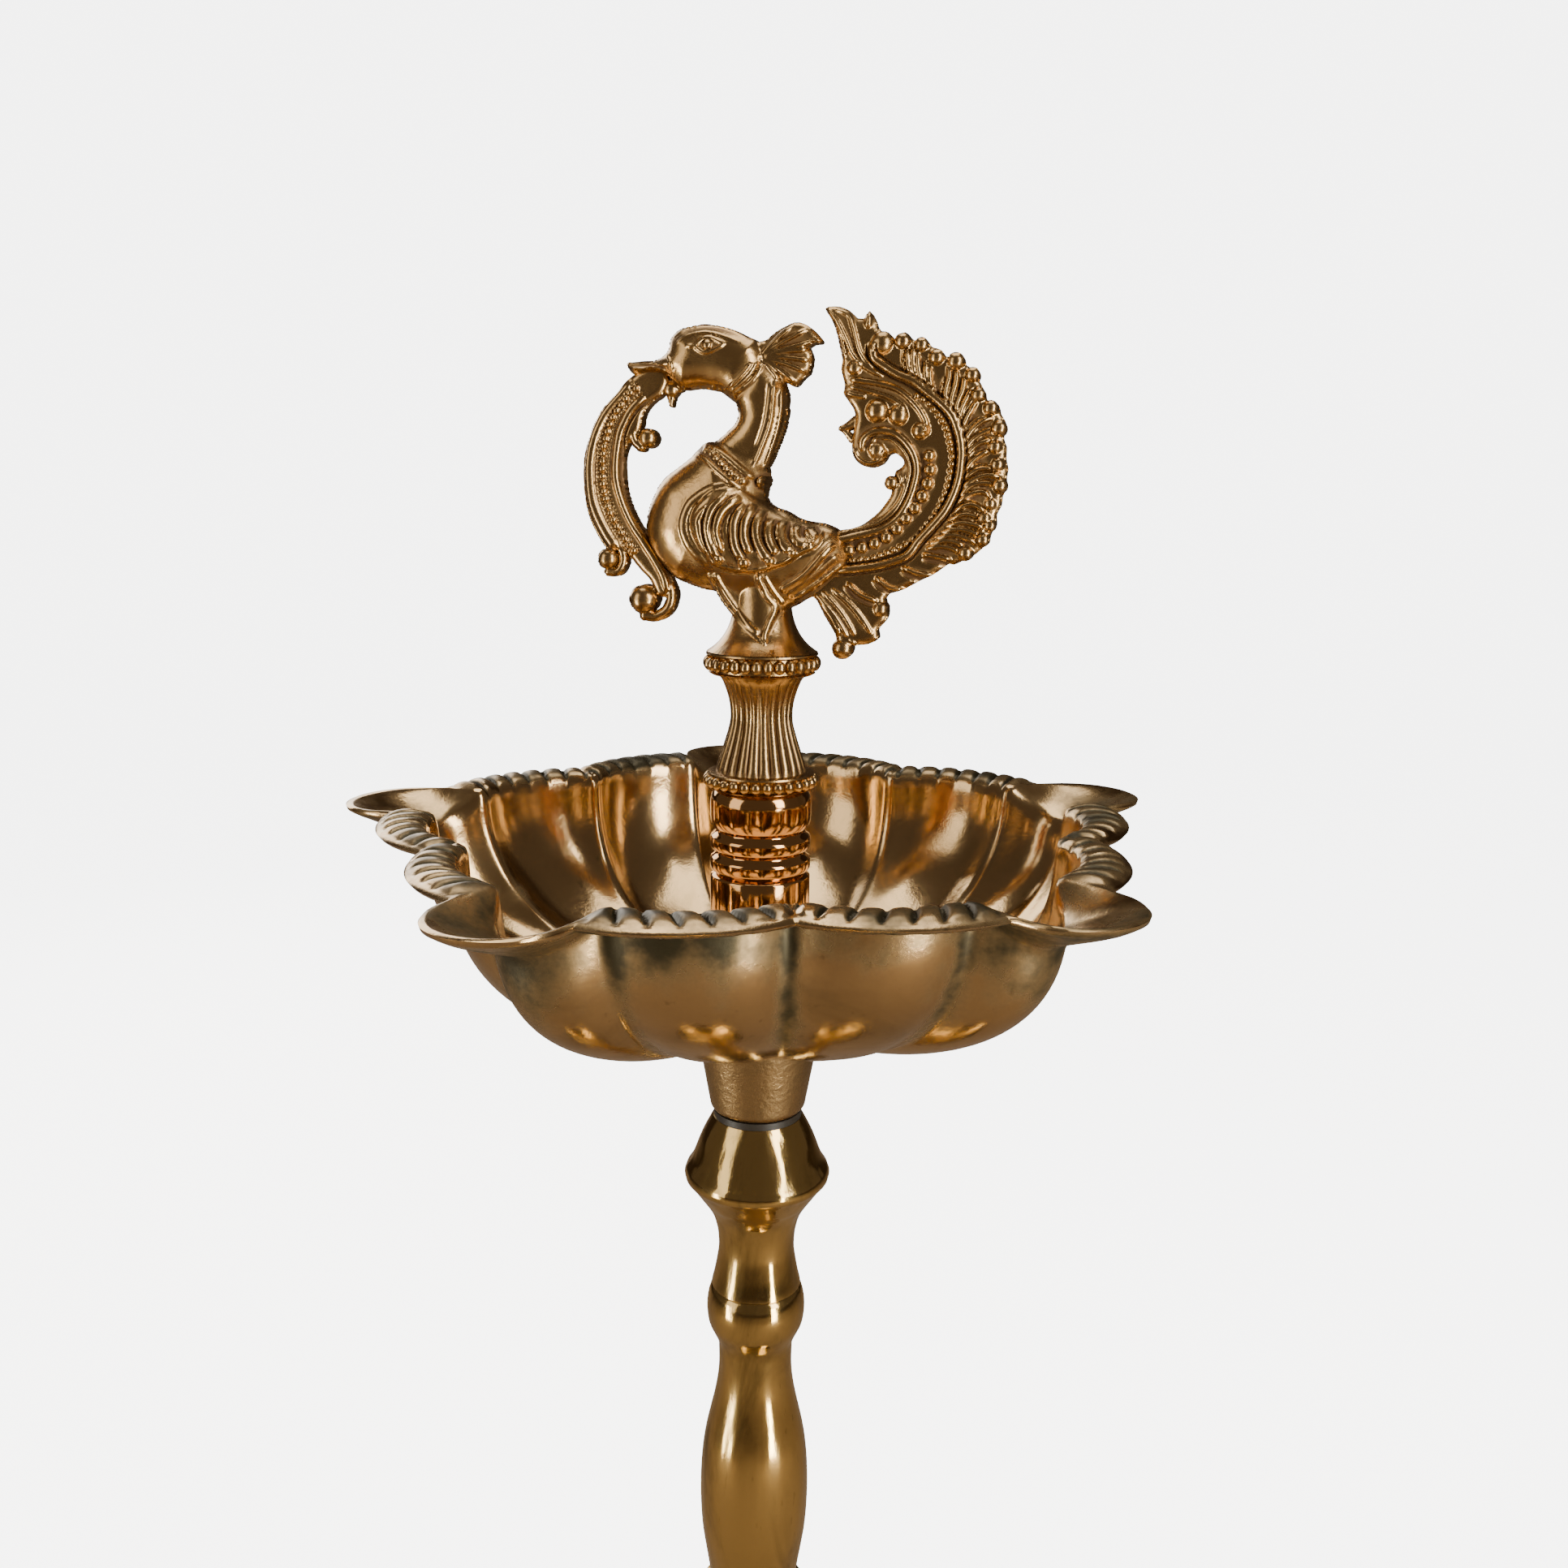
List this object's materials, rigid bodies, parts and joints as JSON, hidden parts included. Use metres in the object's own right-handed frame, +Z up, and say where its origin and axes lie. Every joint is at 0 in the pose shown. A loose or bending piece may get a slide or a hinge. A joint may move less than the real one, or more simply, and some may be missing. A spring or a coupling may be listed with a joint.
{
  "type": "standing oil lamp",
  "caption": "Brass standing oil lamp: stepped foot, screwed baluster stem, lobed bowl with beaks for wicks, and a beaded finial post with a cast bird.",
  "frame": {"origin": "centre of the foot's resting face", "axes": "+Z up along the lamp's axis; one beak of the bowl points a little left of +Y; the bird faces -X"},
  "size_m": [0.1453, 0.1419, 0.4064],
  "materials": {
    "stem_brass": "polished cast brass with fine ripples",
    "bowl_brass": "worn polished brass with tarnish in the creases",
    "post_brass": "mirror-turned orange brass",
    "finial_brass": "cast brass, dark in the recesses",
    "steel": "zinc-plated screw",
    "seal": "dark oiled seal"
  },
  "bodies": {
    "base": {"foot": "stem_brass", "foot_stud": "steel", "foot_nut": "steel", "foot_washer": "steel"},
    "lower_section": {"lower_stem": "stem_brass", "stem_stud": "steel"},
    "upper_section": {"upper_stem": "stem_brass", "bowl_washer": "seal", "bowl_stud": "steel"},
    "bowl_group": {"bowl_boss": "bowl_brass", "bowl": "bowl_brass", "post_washer": "seal"},
    "finial_group": {"finial_rod": "steel", "ribbed_post": "post_brass", "bead_ring_lower": "finial_brass", "fluted_spool": "finial_brass", "bead_ring_upper": "finial_brass", "bird_pedestal": "finial_brass", "bird": "finial_brass"}
  },
  "joints": [
    {"name": "lower_stem_turn", "type": "hinge", "parent": "base", "child": "lower_section", "pos_m": [0, 0, 0], "axis": [0, 0, 1], "range_deg": [0, 360]},
    {"name": "upper_stem_turn", "type": "hinge", "parent": "lower_section", "child": "upper_section", "pos_m": [0, 0, 0], "axis": [0, 0, 1], "range_deg": [0, 360]},
    {"name": "bowl_turn", "type": "hinge", "parent": "upper_section", "child": "bowl_group", "pos_m": [0, 0, 0], "axis": [0, 0, 1], "range_deg": [0, 360]},
    {"name": "finial_turn", "type": "hinge", "parent": "bowl_group", "child": "finial_group", "pos_m": [0, 0, 0], "axis": [0, 0, 1], "range_deg": [0, 360]}
  ]
}
